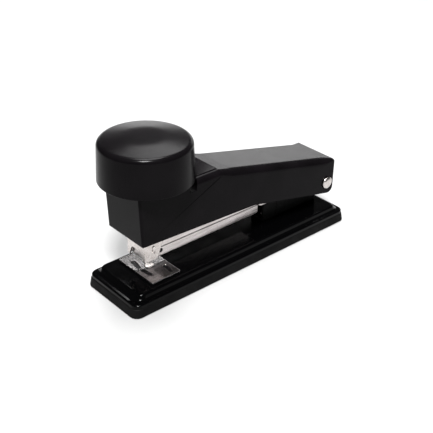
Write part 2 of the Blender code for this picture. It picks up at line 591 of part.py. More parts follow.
def make_plunger_guide(material, rivet_material):
    """Block inside the tower that guides the stem, holds the return spring and carries the nose."""
    inside = HALF_ARM - ARM_WALL - GAP
    rear = KNOB_Y + sqrt((TOWER_R - ARM_WALL - GAP) ** 2 - inside ** 2) - GAP
    top = TOWER_TOP - GAP
    front = front_face(GUIDE_LEG_BOTTOM) + ARM_WALL + GAP
    outline = [(front, GUIDE_LEG_BOTTOM), (rear, GUIDE_LEG_BOTTOM), (rear, top),
               (front_face(top) + ARM_WALL + GAP, top)]
    guide = add_object("plunger_guide", side_plate(outline, -inside, inside), material)
    channel = MAGAZINE_WIDTH / 2 + NOSE_SHEET + 2 * GAP
    cut(guide, box(-channel, channel, front - 5, rear + 5, GUIDE_LEG_BOTTOM - 1, GUIDE_BOTTOM))
    cut(guide, rod(STEM_R + GAP, GUIDE_BOTTOM - 1, top + 1, "Z", (0, KNOB_Y), 32))
    cut(guide, rod(SPRING_WELL_R, SPRING_WELL_FLOOR, top + 1, "Z", (0, KNOB_Y), 32))
    place = NOSE_RIVET_PLACE
    low = HALF_MAGAZINE + GAP
    deep = inside - 1.2
    for name, sign in (("left", 1), ("right", -1)):
        cut(guide, rod(RIVET_R + GAP, sign * (low + NOSE_SHEET), sign * deep, "X", place))
        end = sign * (deep - GAP)
        profile = [(0, sign * low), (RIVET_R, sign * low), (RIVET_R, end), (0, end)]
        add_object(f"nose_rivet_{name}", along(turned(profile, steps=16), "X", place), rivet_material)


# ---------------------------------------------------------------- plunger
def make_knob(material, pin_material):
    """Palm knob: a thick round cap with a skirt that slides down round the tower."""
    top_r = KNOB_R - KNOB_DRAFT
    inner = top_r - KNOB_WALL
    boss = STEM_R + GAP
    edge = arc((top_r - KNOB_EDGE_R, KNOB_SIDE_TOP), KNOB_EDGE_R, 0, 80, 6)
    crown_r, crown_z = edge[-1]
    crown = [(crown_r * (1 - t), crown_z + KNOB_CROWN * (1 - (1 - t) ** 2)) for t in (0.15, 0.35, 0.65)]
    rim = 0.5
    cove = 1.5
    profile = [(0, crown_z + KNOB_CROWN), *reversed(crown), *reversed(edge)]
    profile += [(KNOB_R, KNOB_RIM_Z + rim), (KNOB_R - rim, KNOB_RIM_Z), (KNOB_R - KNOB_WALL, KNOB_RIM_Z),
                (inner, KNOB_ROOF - cove), (inner - cove, KNOB_ROOF), (boss + BOSS_WALL, KNOB_ROOF),
                (boss + BOSS_WALL, BOSS_BOTTOM), (boss, BOSS_BOTTOM), (boss, KNOB_ROOF), (0, KNOB_ROOF)]
    knob = add_object("knob", turned(profile, 0, KNOB_Y, 56), material, (0, KNOB_Y, KNOB_RIM_Z))
    height = BOSS_BOTTOM + STEM_PIN_ABOVE_BOSS
    through = boss + BOSS_WALL + 1
    cut(knob, rod(STEM_PIN_R + GAP, -through, through, "X", (KNOB_Y, height), 16))
    reach = boss + BOSS_WALL - 0.1
    add_object("stem_pin", rod(STEM_PIN_R, -reach, reach, "X", (KNOB_Y, height), 16), pin_material)
    return height


def make_plunger(stem_material, blade_material, pin_height):
    """Stem with a driver block at its foot, and the flat blade riveted to the block's front."""
    block_front = BLADE_REAR + GAP
    block = box(-STEM_BLOCK_HALF, STEM_BLOCK_HALF, block_front, KNOB_Y + STEM_R + 1.5, STEM_BLOCK_BOTTOM,
                STEM_BLOCK_TOP)
    stem = add_object("plunger_stem", block, stem_material, (0, KNOB_Y, STEM_BLOCK_TOP))
    overlap = 2.0
    cut(stem, rod(STEM_R, STEM_BLOCK_TOP - overlap, KNOB_ROOF - GAP, "Z", (0, KNOB_Y), 32), "UNION")
    cut(stem, rod(STEM_PIN_R + GAP, -STEM_R - 1, STEM_R + 1, "X", (KNOB_Y, pin_height), 16))
    middle = (STEM_BLOCK_BOTTOM + STEM_BLOCK_TOP) / 2
    depth = DRIVER_RIVET_DEPTH
    cut(stem, rod(RIVET_R + GAP, block_front - 1, block_front + depth, "Y", (0, middle), 16))
    half = STAPLE_WIDTH / 2 - 0.2
    blade = add_object("driver_blade", box(-half, half, BLADE_FRONT, BLADE_REAR, BLADE_BOTTOM,
                                           STEM_BLOCK_TOP - 1), blade_material)
    cut(blade, rod(RIVET_R + GAP, BLADE_FRONT - 1, BLADE_REAR + 1, "Y", (0, middle), 16))
    rivet = rod(RIVET_R, BLADE_FRONT, block_front + depth - GAP, "Y", (0, middle), 16)
    add_object("driver_rivet", rivet, stem_material)


def make_return_spring(material):
    """Coil spring round the stem, between the guide's well and the knob's roof."""
    radius = STEM_R + BOSS_WALL + 3 * GAP + RETURN_WIRE / 2
    spring = coil(radius, RETURN_WIRE, SPRING_WELL_FLOOR + GAP, KNOB_ROOF - GAP, 6, 16)
    add_object("return_spring", along(spring, "Z", (0, KNOB_Y)), material)


# ---------------------------------------------------------------- nose and magazine
def make_nose(material):
    """Bent steel nose: a front plate with a staple mouth and two legs that wrap the magazine."""
    inner = HALF_MAGAZINE + GAP
    outer = inner + NOSE_SHEET
    rear = NOSE_FRONT_Y + NOSE_LENGTH
    leg = [(NOSE_FRONT_Y, NOSE_BOTTOM), (NOSE_FRONT_Y + NOSE_FOOT, NOSE_BOTTOM), (rear, NOSE_KNEE_Z),
           (rear, NOSE_TOP), (NOSE_FRONT_Y, NOSE_TOP)]
    nose = add_object("nose_piece", side_plate(leg, -outer, outer), material)
    cut(nose, box(-inner, inner, NOSE_INSIDE, rear + 5, NOSE_BOTTOM - 5, NOSE_TOP + 5))
    cut(nose, rod(RIVET_R + GAP, -outer - 1, outer + 1, "X", NOSE_RIVET_PLACE, 16))
    half = (STAPLE_WIDTH + NOSE_MOUTH_SPARE) / 2
    cut(nose, box(-half, half, NOSE_FRONT_Y - 1, NOSE_INSIDE + 1, NOSE_BOTTOM - 1,
                  NOSE_BOTTOM + NOSE_MOUTH_HEIGHT))
    nib_y = NOSE_FRONT_Y + 6.5
    foot, head = (NOSE_BOTTOM + height for height in NIB_HEIGHTS)
    plan = arc((nib_y, head), NIB_R, 0, 180, 6) + arc((nib_y, foot), NIB_R, 180, 360, 6)
    for sign in (1, -1):
        inside = sign * (outer - NOSE_SHEET / 2)
        outside = sign * (outer + NIB_RISE)
        cut(nose, side_plate(plan, min(inside, outside), max(inside, outside)), "UNION")


def make_magazine(steel, spring_material, wire_material, block_material):
    """Lower channel, upper frame that reaches the hinge, core, staples, follower and its spring."""
    make_channel(steel)
    make_frame(steel)
    core_half = STAPLE_WIDTH / 2 - STAPLE_WIRE - STAPLE_CORE_GAP
    core_top = STAPLE_TOP - STAPLE_WIRE - GAP
    core_rear = END_BLOCK_FRONT - GAP
    core = box(-core_half, core_half, MAGAZINE_FRONT, core_rear, STAPLE_FOOT, core_top)
    add_object("magazine_core", core, steel)
    make_strip(wire_material)
    make_follower(block_material, core_half, core_top)
    make_rod(steel, spring_material, block_material)


def make_channel(steel):
    """Lower U channel that the staples' points slide in."""
    inside = HALF_MAGAZINE - MAGAZINE_SHEET
    channel = add_object("magazine_channel", box(-HALF_MAGAZINE, HALF_MAGAZINE, MAGAZINE_FRONT,
                                                 MAGAZINE_REAR, NOSE_BOTTOM, CHANNEL_TOP), steel)
    cut(channel, box(-inside, inside, MAGAZINE_FRONT - 1, MAGAZINE_REAR + 1,
                     NOSE_BOTTOM + MAGAZINE_SHEET, CHANNEL_TOP + 1))
    hole = (NOSE_FRONT_Y + NOSE_FOOT + 3.5, CHANNEL_TOP - CHANNEL_HOLE_DROP)
    cut(channel, rod(CHANNEL_HOLE_R, -HALF_MAGAZINE - 1, HALF_MAGAZINE + 1, "X", hole, 20))


def make_frame(steel):
    """Upper frame, a U channel upside down over the magazine, whose ears turn on the hinge pin."""
    low = CHANNEL_TOP + GAP
    rear = MAGAZINE_REAR + 2.5
    outline = [(MAGAZINE_FRONT, low), (MAGAZINE_REAR, low), (rear, low - 2), (PIN_Y, PIN_Z - EAR_R)]
    outline += arc((PIN_Y, PIN_Z), EAR_R, -75, 0, 5)[1:]
    outline += [(PIN_Y + EAR_R, FRAME_TOP), (MAGAZINE_FRONT, FRAME_TOP)]
    frame = add_object("inner_frame", side_plate(outline, -HALF_MAGAZINE, HALF_MAGAZINE), steel,
                       (0, PIN_Y, PIN_Z))
    inside = HALF_MAGAZINE - MAGAZINE_SHEET
    cut(frame, box(-inside, inside, MAGAZINE_FRONT - 1, PIN_Y + 2 * EAR_R, low - 10, FRAME_WEB))
    cut(frame, rod(PIN_R + GAP, -HALF_MAGAZINE - 1, HALF_MAGAZINE + 1, "X", (PIN_Y, PIN_Z)))


def make_strip(material):
    """Glued strip of staples: crowns on top, legs down both sides of the core."""
    half = STAPLE_WIDTH / 2
    front = MAGAZINE_FRONT + GAP
    strip = add_object("staple_strip", box(-half, half, front, STRIP_REAR, STAPLE_FOOT, STAPLE_TOP), material)
    cut(strip, box(-half + STAPLE_WIRE, half - STAPLE_WIRE, front - 1, STRIP_REAR + 1,
                   STAPLE_FOOT - 1, STAPLE_TOP - STAPLE_WIRE))


def make_follower(material, core_half, core_top):
    """Follower that straddles the core and pushes the strip forward along the guide rod."""
    front = STRIP_REAR + GAP
    rear = front + FOLLOWER_LENGTH
    half = STAPLE_WIDTH / 2
    body = box(-half, half, front, rear, STAPLE_FOOT, FOLLOWER_TOP)
    follower = add_object("follower", body, material, (0, front, ROD_Z))
    slot = core_half + GAP
    cut(follower, box(-slot, slot, front - 1, rear + 1, STAPLE_FOOT - 1, core_top + GAP))
    cut(follower, rod(ROD_R + GAP, front - 1, rear + 1, "Y", (0, ROD_Z), 16))


def make_rod(steel, spring_material, block_material):
    """Guide rod in its end block at the magazine's rear, with the follower spring round it."""
    half = STAPLE_WIDTH / 2
    block = add_object("magazine_end", box(-half, half, END_BLOCK_FRONT, MAGAZINE_REAR - GAP, STAPLE_FOOT,
                                           FOLLOWER_TOP), block_material)
    cut(block, rod(ROD_R + GAP, END_BLOCK_FRONT - 1, MAGAZINE_REAR + 1, "Y", (0, ROD_Z), 16))
    front = MAGAZINE_FRONT + ROD_SETBACK
    add_object("guide_rod", rod(ROD_R, front, MAGAZINE_REAR - GAP, "Y", (0, ROD_Z), 16), steel)
    low = STRIP_REAR + GAP + FOLLOWER_LENGTH + GAP
    radius = ROD_R + 2 * GAP + FOLLOWER_WIRE / 2
    spring = coil(radius, FOLLOWER_WIRE, low, END_BLOCK_FRONT - GAP, 13, 8)
    add_object("follower_spring", along(spring, "Y", (0, ROD_Z)), spring_material)


# ---------------------------------------------------------------- assembly
def main():
    for thing in list(bpy.data.objects):
        bpy.data.objects.remove(thing)
    gloss = add_material("black_enamel", (0.012, 0.012, 0.013), 0.12, 0.0)
    skirt = add_material("black_rubber", (0.022, 0.022, 0.024), 0.55, 0.0)
    satin = add_material("satin_black", (0.017, 0.016, 0.018), 0.38, 0.0)
    moulded = add_material("moulded_black", (0.020, 0.019, 0.021), 0.5, 0.0)
    nickel = add_material("nickelled_steel", (0.62, 0.58, 0.56), 0.28, 1.0)
    mirror = add_material("polished_steel", (0.75, 0.74, 0.73), 0.08, 1.0)
    spring = add_material("spring_steel", (0.35, 0.34, 0.33), 0.3, 1.0)
    zinc = add_material("zinc_steel", (0.6, 0.6, 0.58), 0.35, 1.0)
    acetal = add_material("grey_acetal", (0.20, 0.20, 0.21), 0.45, 0.0)
    make_base_tray(skirt)
    make_base_pan(gloss)
    make_bracket(satin, zinc)
    make_hinge(nickel, acetal, spring)
    make_anvil(mirror, nickel, spring)
    make_arm_housing(satin)
    make_head_deck(satin)
    make_plunger_guide(acetal, zinc)
    pin_height = make_knob(moulded, zinc)
    make_plunger(zinc, spring, pin_height)
    make_return_spring(spring)
    make_nose(nickel)
    make_magazine(nickel, spring, zinc, acetal)


main()
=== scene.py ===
"""Desk stapler with a round palm knob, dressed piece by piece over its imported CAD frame."""
from math import asin, cos, pi, radians, sin, sqrt, tan

import bmesh
import bpy
import numpy as np
from mathutils import Matrix, Vector


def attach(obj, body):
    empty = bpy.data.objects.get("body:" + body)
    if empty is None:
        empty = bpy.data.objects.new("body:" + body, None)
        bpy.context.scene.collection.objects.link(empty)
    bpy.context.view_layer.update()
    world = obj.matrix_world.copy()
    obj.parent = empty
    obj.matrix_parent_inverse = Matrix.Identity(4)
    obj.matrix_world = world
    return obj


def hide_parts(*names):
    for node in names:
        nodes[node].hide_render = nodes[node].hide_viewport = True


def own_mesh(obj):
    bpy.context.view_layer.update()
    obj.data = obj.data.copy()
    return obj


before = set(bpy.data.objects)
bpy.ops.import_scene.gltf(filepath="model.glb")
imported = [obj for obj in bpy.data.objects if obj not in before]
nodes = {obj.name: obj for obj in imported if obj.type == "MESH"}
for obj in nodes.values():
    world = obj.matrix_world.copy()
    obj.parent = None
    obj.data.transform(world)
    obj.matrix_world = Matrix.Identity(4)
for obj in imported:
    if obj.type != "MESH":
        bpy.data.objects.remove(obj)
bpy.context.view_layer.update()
MM = 0.001


# ---- base tray ----
# The tray is one moulding of matt black rubbery plastic. Its skirt is all that shows round the
# foot of the base; a ridge on its upper side locates the steel pan, which snaps on over it.
def wrap(grid, loop=False):
    """Quads over a grid of points whose rows close on themselves: row i, column j joins
    row i + 1 and column j + 1. A loop also joins the last row to the first; else both are capped."""
    rows, columns = grid.shape[:2]
    index = np.arange(rows * columns).reshape(rows, columns)
    low = index if loop else index[:-1]
    high = np.roll(index, -1, axis=0) if loop else index[1:]
    quads = np.stack([low, np.roll(low, -1, 1), np.roll(high, -1, 1), high], axis=-1)
    faces = quads.reshape(-1, 4).tolist()
    if not loop:
        faces += [index[0].tolist(), index[-1].tolist()]
    return grid.reshape(-1, 3), faces


def add_shape(name, points, faces, smooth=35):
    """A mesh in metres from points in millimetres, its poles merged and its faces turned out."""
    mesh = bpy.data.meshes.new(name)
    mesh.from_pydata((np.asarray(points) * MM).tolist(), [], faces)
    shape = bmesh.new()
    shape.from_mesh(mesh)
    bmesh.ops.remove_doubles(shape, verts=shape.verts, dist=1e-7)
    bmesh.ops.recalc_face_normals(shape, faces=shape.faces)
    shape.to_mesh(mesh)
    shape.free()
    mesh.shade_smooth()
    mesh.set_sharp_from_angle(angle=radians(smooth))
    piece = bpy.data.objects.new(name, mesh)
    bpy.context.scene.collection.objects.link(piece)
    return piece


def rounded(corners, radii, steps=8, closed=True):
    """Outline whose corners become arcs. The arc's ends lie radius / tan(half the corner's angle)
    along both sides, and its points are those two ends' offsets from the centre, blended by
    sin((1 - t) a) and sin(t a) over sin(a), where a is the angle that the arc sweeps."""
    corners = np.asarray(corners, float)
    radii = np.array(np.broadcast_to(radii, len(corners)), float)
    if not closed:
        radii[[0, -1]] = 0
    outline = []
    for i, (corner, radius) in enumerate(zip(corners, radii)):
        if radius == 0:
            outline.append(corner[None])
            continue
        u, v = corners[i - 1] - corner, corners[(i + 1) % len(corners)] - corner
        u, v = u / np.linalg.norm(u), v / np.linalg.norm(v)
        half = np.arccos(np.clip(u @ v, -1, 1)) / 2
        centre = corner + (u + v) / np.linalg.norm(u + v) * radius / sin(half)
        start, end = (corner + side * radius / tan(half) - centre for side in (u, v))
        t = np.linspace(0, 1, steps + 1)[:, None]
        sweep = pi - 2 * half
        outline.append(centre + (np.sin((1 - t) * sweep) * start + np.sin(t * sweep) * end) / sin(sweep))
    return np.concatenate(outline)


def new_finish(name, colour, roughness, metallic=0.0, more=()):
    """A Principled material whose even values sit on the shader's own sockets."""
    finish = bpy.data.materials.new(name)
    finish.use_nodes = True
    shader = finish.node_tree.nodes["Principled BSDF"]
    values = {"Base Color": (*colour, 1.0), "Roughness": roughness, "Metallic": metallic, **dict(more)}
    for socket, value in values.items():
        shader.inputs[socket].default_value = value
    return finish


def grain(finish, size, stretch=(1, 1, 1), detail=2.0):
    """Noise on the piece's own coordinates, with blotches of about size millimetres that are
    drawn out along each axis by stretch."""
    tree = finish.node_tree
    where = tree.nodes.new("ShaderNodeTexCoord")
    place = tree.nodes.new("ShaderNodeMapping")
    place.inputs["Scale"].default_value = [1 / (size * MM * s) for s in stretch]
    noise = tree.nodes.new("ShaderNodeTexNoise")
    noise.inputs["Scale"].default_value = 1.0
    noise.inputs["Detail"].default_value = detail
    tree.links.new(where.outputs["Object"], place.inputs["Vector"])
    tree.links.new(place.outputs["Vector"], noise.inputs["Vector"])
    return noise.outputs["Fac"]


def tint(finish, value, dark, light, low=0.35, high=0.65):
    """Base colour that runs from dark to light while value runs from low to high."""
    tree = finish.node_tree
    ramp = tree.nodes.new("ShaderNodeValToRGB")
    for stop, position, colour in zip(ramp.color_ramp.elements, (low, high), (dark, light)):
        stop.position = position
        stop.color = (*colour, 1.0)
    tree.links.new(value, ramp.inputs["Fac"])
    tree.links.new(ramp.outputs["Color"], tree.nodes["Principled BSDF"].inputs["Base Color"])


def polish(finish, value, smooth, rough, low=0.3, high=0.7):
    """Roughness that runs from smooth to rough while value runs from low to high."""
    tree = finish.node_tree
    spread = tree.nodes.new("ShaderNodeMapRange")
    for socket, number in zip(("From Min", "From Max", "To Min", "To Max"), (low, high, smooth, rough)):
        spread.inputs[socket].default_value = number
    tree.links.new(value, spread.inputs["Value"])
    tree.links.new(spread.outputs["Result"], tree.nodes["Principled BSDF"].inputs["Roughness"])


def relief(finish, value, depth):
    """Bump of that depth in millimetres, laid over any bump that is there already."""
    tree = finish.node_tree
    normal = tree.nodes["Principled BSDF"].inputs["Normal"]
    bump = tree.nodes.new("ShaderNodeBump")
    bump.inputs["Distance"].default_value = depth * MM
    tree.links.new(value, bump.inputs["Height"])
    if normal.is_linked:
        tree.links.new(normal.links[0].from_socket, bump.inputs["Normal"])
    tree.links.new(bump.outputs["Normal"], normal)


def dress(piece, finish, body, slot, *replaced):
    """Give a piece its finish, the body it moves with and the CAD nodes it stands for; its slot is not used."""
    piece.data.materials.clear()
    piece.data.materials.append(finish)
    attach(piece, body)
    if replaced:
        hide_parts(*replaced)


def keep(name, finish):
    """Give a CAD node that stays a better finish."""
    for place in nodes[name].material_slots:
        place.material = finish


BASE_HALF_WIDTH = 25.4
BASE_HALF_LENGTH = 92.0
BASE_CORNER = 5.3


def base_rings(profile, stretch):
    """Rounded rectangles, one for each (inset, height) of a profile. A point is its corner's
    centre plus the radius at its angle; the inset counts stretch times at the two ends."""
    inset, height = np.asarray(profile, float).T[:, :, None]
    angle = (np.linspace(0, pi / 2, 13)[None] + np.arange(4)[:, None] * pi / 2).reshape(1, -1)
    side = np.repeat([1, -1, -1, 1], 13)[None]
    end = np.repeat([1, 1, -1, -1], 13)[None]
    radius = np.maximum(BASE_CORNER - inset * 0.15, 1.0)
    x = side * (BASE_HALF_WIDTH - inset - radius) + radius * np.cos(angle)
    y = end * (BASE_HALF_LENGTH - inset * stretch - radius) + radius * np.sin(angle)
    return np.stack([x, y, height + 0 * x], axis=-1)


SKIRT_TOP = 5.8
RIDGE_TOP = 6.8
skirt = rounded([(2.6, 0.0), (0.0, 0.0), (0.8, SKIRT_TOP), (2.4, SKIRT_TOP),
                 (2.4, RIDGE_TOP), (3.8, RIDGE_TOP), (3.8, 2.0)],
                [0, 0.7, 0.5, 0.1, 0.3, 0.3, 0], 6, closed=False)
tray = add_shape("moulded_tray", *wrap(base_rings(skirt, 1.0)))
rubber = new_finish("black_rubber", (0.0025, 0.0025, 0.0026), 0.62, 0.0, {"Specular IOR Level": 0.06})
tint(rubber, grain(rubber, 9.0, detail=4), (0.0019, 0.0019, 0.0020), (0.0036, 0.0035, 0.0035))
polish(rubber, grain(rubber, 3.0), 0.52, 0.72)
relief(rubber, grain(rubber, 0.35, detail=3), 0.05)
dress(tray, rubber, "base", "tray_rubber", "base_tray")

# ---- base pan ----
# The pan is pressed from one sheet of steel and stove-enamelled in gloss black: an upright flange
# over the tray, a hollow slope, and a flat platform for the anvil and the bracket.
PLATFORM = 12.3
PAN_FOOT = 6.1
PAN_SHEET = 1.0
outer = rounded([(0.9, PAN_FOOT), (0.9, 8.5), (3.5, 8.72), (4.62, PLATFORM), (9.0, PLATFORM)],
                [0, 0.9, 1.7, 1.3, 0], 10, closed=False)
inner = np.maximum(outer - (0, PAN_SHEET), (0, PAN_FOOT)) + (PAN_SHEET, 0)
pan = add_shape("enamel_pan", *wrap(base_rings(np.concatenate([inner[::-1], outer]), 1.5)))
enamel = new_finish("black_enamel", (0.0005, 0.0005, 0.0006), 0.07, 0.0, {"Specular IOR Level": 0.09})
polish(enamel, grain(enamel, 14.0, detail=5), 0.05, 0.13)
relief(enamel, grain(enamel, 3.2, detail=1), 0.010)
relief(enamel, grain(enamel, 0.5, detail=1), 0.0008)
dress(pan, enamel, "base", "black_enamel", "base_pan")

# ---- hinge bracket and its rivets ----
# A strip of steel folded to a channel and painted satin black. Two rivets hold its floor to the
# platform, and its two walls rise inside the arm's frame to carry the cross pin.
PIN_Y, PIN_Z, PIN_R = 77.7, 31.1, 2.0
PIN_HOLE_R = PIN_R + 0.3
BRACKET_FRONT, BRACKET_LOW = 29.0, 12.6
SEAM_FRONT, SEAM_REAR, SEAM_DEPTH = 40.8, 41.3, 0.25
FOLD_HALF = 5.7
FOLD_SHEET = 1.5
FOLD_FLOOR = 14.1


def slab(outline, low, high, axis="X", edge=0.0, steps=4):
    """A plate drawn as a closed outline and carried along an axis, with rounded rims. At angle a
    of a rim the outline moves in by edge (1 - sin a) along its mitres, and the plate's face
    moves in by edge (1 - cos a). The edge may differ from point to point."""
    outline = np.asarray(outline, float)
    ahead = np.roll(outline, -1, 0)
    if (outline[:, 0] * ahead[:, 1] - ahead[:, 0] * outline[:, 1]).sum() < 0:
        outline = outline[::-1]
        edge = np.asarray(edge)[::-1] if np.ndim(edge) else edge
        ahead = np.roll(outline, -1, 0)
    side = (ahead - outline) / np.linalg.norm(ahead - outline, axis=1)[:, None]
    normal = np.stack([-side[:, 1], side[:, 0]], axis=1)
    before = np.roll(normal, 1, 0)
    mitre = (normal + before) / (1 + (normal * before).sum(1, keepdims=True))
    edge = np.broadcast_to(edge, len(outline)).astype(float)
    angle = np.linspace(0, pi / 2, steps + 1)[:, None] if edge.any() else np.array([[pi / 2]])
    inset, depth = edge * (1 - np.sin(angle)), edge * (1 - np.cos(angle))
    plan = outline + mitre * inset[:, :, None]
    rims = [np.dstack([plan, low + depth]), np.dstack([plan, high - depth])[::-1]]
    grid = np.concatenate(rims)
    return wrap(grid[..., {"X": [2, 0, 1], "Y": [0, 2, 1], "Z": [0, 1, 2]}[axis]])


def block(x0, x1, y0, y1, z0, z1):
    """A plain block between two corners."""
    return slab([(x0, y0), (x1, y0), (x1, y1), (x0, y1)], z0, z1, "Z")


def round_bar(radius, low, high, axis, across, steps=48):
    """A cylinder along an axis; across is its centre on the other two axes."""
    angle = np.arange(steps) * 2 * pi / steps
    circle = np.stack([np.cos(angle), np.sin(angle)], axis=1) * radius + across
    return slab(circle, low, high, axis)


def cut(piece, *cutters, smooth=35):
    """Cut closed shapes out of a piece, one after another, and keep the result as its mesh."""
    for points, faces in cutters:
        cutter = add_shape("cutter", points, faces)
        trim = piece.modifiers.new("trim", "BOOLEAN")
        trim.operation, trim.solver, trim.object = "DIFFERENCE", "EXACT", cutter
        bpy.context.view_layer.update()
        mesh = bpy.data.meshes.new_from_object(piece.evaluated_get(bpy.context.evaluated_depsgraph_get()))
        piece.modifiers.clear()
        piece.data = mesh
        bpy.data.objects.remove(cutter)
    piece.data.name = piece.name
    piece.data.shade_smooth()
    piece.data.set_sharp_from_angle(angle=radians(smooth))


def soften(piece, width, limit=40, segments=2):
    """Round the edges sharper than a limit in degrees, and let wide faces set the shading."""
    bevel = piece.modifiers.new("worn edges", "BEVEL")
    bevel.width, bevel.segments, bevel.angle_limit = width * MM, segments, radians(limit)
    bevel.limit_method, bevel.miter_outer, bevel.harden_normals = "ANGLE", "MITER_ARC", False
    even = piece.modifiers.new("even shading", "WEIGHTED_NORMAL")
    even.keep_sharp, even.weight = True, 80


walls = rounded([(BRACKET_FRONT, BRACKET_LOW), (79.9, BRACKET_LOW), (81.7, PIN_Z),
                 (78.6, 35.1), (66.0, 33.0), (BRACKET_FRONT, 33.6)],
                [0.6, 0.6, 3.5, 3.0, 6.0, 1.2], 8)
bracket = add_shape("folded_bracket", *slab(walls, -FOLD_HALF, FOLD_HALF, "X", 0.5, 4))
inside = FOLD_HALF - FOLD_SHEET
seams = [block(s * FOLD_HALF - SEAM_DEPTH, s * FOLD_HALF + SEAM_DEPTH, SEAM_FRONT, SEAM_REAR, FOLD_FLOOR, 40)
         for s in (1, -1)]
cut(bracket, block(-inside, inside, 20, 90, FOLD_FLOOR, 60),
    round_bar(PIN_HOLE_R, -10, 10, "X", (PIN_Y, PIN_Z)), *seams)
soften(bracket, 0.2)
paint = new_finish("satin_black_paint", (0.0015, 0.0015, 0.0015), 0.5, 0.0, {"Specular IOR Level": 0.10})
tint(paint, grain(paint, 5.0, detail=4), (0.0010, 0.0010, 0.0010), (0.0020, 0.0020, 0.0020))
polish(paint, grain(paint, 2.0), 0.42, 0.62)
relief(paint, grain(paint, 0.25, detail=2), 0.02)
dress(bracket, paint, "base", "bracket_black", "hinge_bracket")


def turned(profile, x=0.0, y=0.0, axis="Z", steps=96):
    """A solid turned about an axis through a profile of (radius, height): each point goes round
    at (radius cos a, radius sin a, height)."""
    radius, height = np.asarray(profile, float).T[:, :, None]
    angle = np.arange(steps) * 2 * pi / steps
    grid = np.stack([radius * np.cos(angle), radius * np.sin(angle), height + 0 * angle], axis=-1)
    points, faces = wrap(grid[..., {"X": [2, 0, 1], "Y": [0, 2, 1], "Z": [0, 1, 2]}[axis]])
    return points + {"X": (0, x, y), "Y": (x, 0, y), "Z": (x, y, 0)}[axis], faces


zinc = new_finish("zinc_steel", (0.55, 0.55, 0.54), 0.35, 1.0)
tint(zinc, grain(zinc, 1.2, detail=5), (0.40, 0.40, 0.41), (0.66, 0.65, 0.62))
polish(zinc, grain(zinc, 0.8), 0.26, 0.46)
relief(zinc, grain(zinc, 0.2), 0.006)
RIVET_HEAD_R, RIVET_SHANK_R = 3.0, 1.6
RIVET_LOW, RIVET_HIGH = 10.1, 15.5
for name, y in (("front", 36.0), ("rear", 64.0)):
    head = rounded([(0, RIVET_LOW), (RIVET_HEAD_R, RIVET_LOW), (RIVET_HEAD_R, 11.0), (RIVET_SHANK_R, 11.0),
                    (RIVET_SHANK_R, 14.4), (RIVET_HEAD_R, 14.4), (RIVET_HEAD_R, RIVET_HIGH), (0, RIVET_HIGH)],
                   [0, 0.8, 0.1, 0, 0, 0.1, 0.9, 0], 6, closed=False)
    rivet = add_shape(f"floor_rivet_{name}", *turned(head, 0, y, steps=40))
    dress(rivet, zinc, "base", "zinc_steel", f"bracket_rivet_{name}")

# ---- hinge pin, bushes and lift spring ----
# The arm turns on one nickelled pin that is peened over to a low dome at both sides of the arm.
# Plain washers keep the frame central, and a coil in the bracket holds the arm up off the base.
ARM_HALF = 17.2
DOME_R = 4.3
seat = ARM_HALF + 0.3
dome = rounded([(PIN_R, seat), (DOME_R, seat), (DOME_R, seat + 0.75), (2.6, seat + 1.62), (0, seat + 1.7)],
               [0, 0.12, 0.5, 2.2, 0], 8, closed=False)
pin = add_shape("peened_pin", *turned(np.concatenate([(dome * (1, -1))[::-1], dome]), PIN_Y, PIN_Z, "X"))
nickel = new_finish("bright_nickel", (0.58, 0.54, 0.52), 0.24, 1.0)
tint(nickel, grain(nickel, 2.5, detail=5), (0.52, 0.48, 0.46), (0.64, 0.60, 0.58))
polish(nickel, grain(nickel, 1.6), 0.18, 0.34)
relief(nickel, grain(nickel, 0.3, detail=3), 0.0008)
dress(pin, nickel, "base", "nickelled_steel", "hinge_pin")
acetal = new_finish("grey_acetal", (0.16, 0.16, 0.165), 0.42, 0.0)
tint(acetal, grain(acetal, 6.0, detail=3), (0.13, 0.13, 0.135), (0.19, 0.19, 0.20))
polish(acetal, grain(acetal, 2.0), 0.34, 0.5)
relief(acetal, grain(acetal, 0.5), 0.01)
for name in ("hinge_bush_left", "hinge_bush_right", "plunger_guide", "magazine_end", "follower"):
    keep(name, acetal)


def coil(radius, wire, low, high, turns, axis="Z", across=(0, 0), per_turn=40, sides=10):
    """A compression spring: a round wire swept along a helix whose height climbs evenly between
    two flat end turns. A point is the helix's centre plus the wire's radius times
    (cos b outward + sin b along the axis)."""
    count = int(turns * per_turn) + 1
    turn = np.linspace(0, turns, count)
    climb = np.clip((turn - 0.75) / (turns - 1.5), 0, 1)
    lay = wire * 1.02 * (np.minimum(turn, 0.75) + np.maximum(turn - turns + 0.75, 0))
    height = low + wire / 2 + lay + (high - low - wire - 1.53 * wire) * climb
    a, b = (2 * pi * turn)[:, None], np.linspace(0, 2 * pi, sides, endpoint=False)[None]
    reach = radius + wire / 2 * np.cos(b)
    grid = np.stack([reach * np.cos(a), reach * np.sin(a), height[:, None] + wire / 2 * np.sin(b)], axis=-1)
    points, faces = wrap(grid[..., {"Y": [0, 2, 1], "Z": [0, 1, 2]}[axis]])
    return points + {"Y": (across[0], 0, across[1]), "Z": (*across, 0)}[axis], faces


steel = new_finish("spring_steel", (0.40, 0.39, 0.38), 0.3, 1.0)
tint(steel, grain(steel, 1.0, detail=4), (0.30, 0.29, 0.28), (0.50, 0.48, 0.46))
polish(steel, grain(steel, 0.6), 0.2, 0.4)
relief(steel, grain(steel, 0.12), 0.003)
spring = add_shape("arm_spring", *coil(3.2, 0.9, 14.4, 35.0, 8, across=(0, 50.0)))
dress(spring, steel, "base", "spring_steel", "lift_spring")

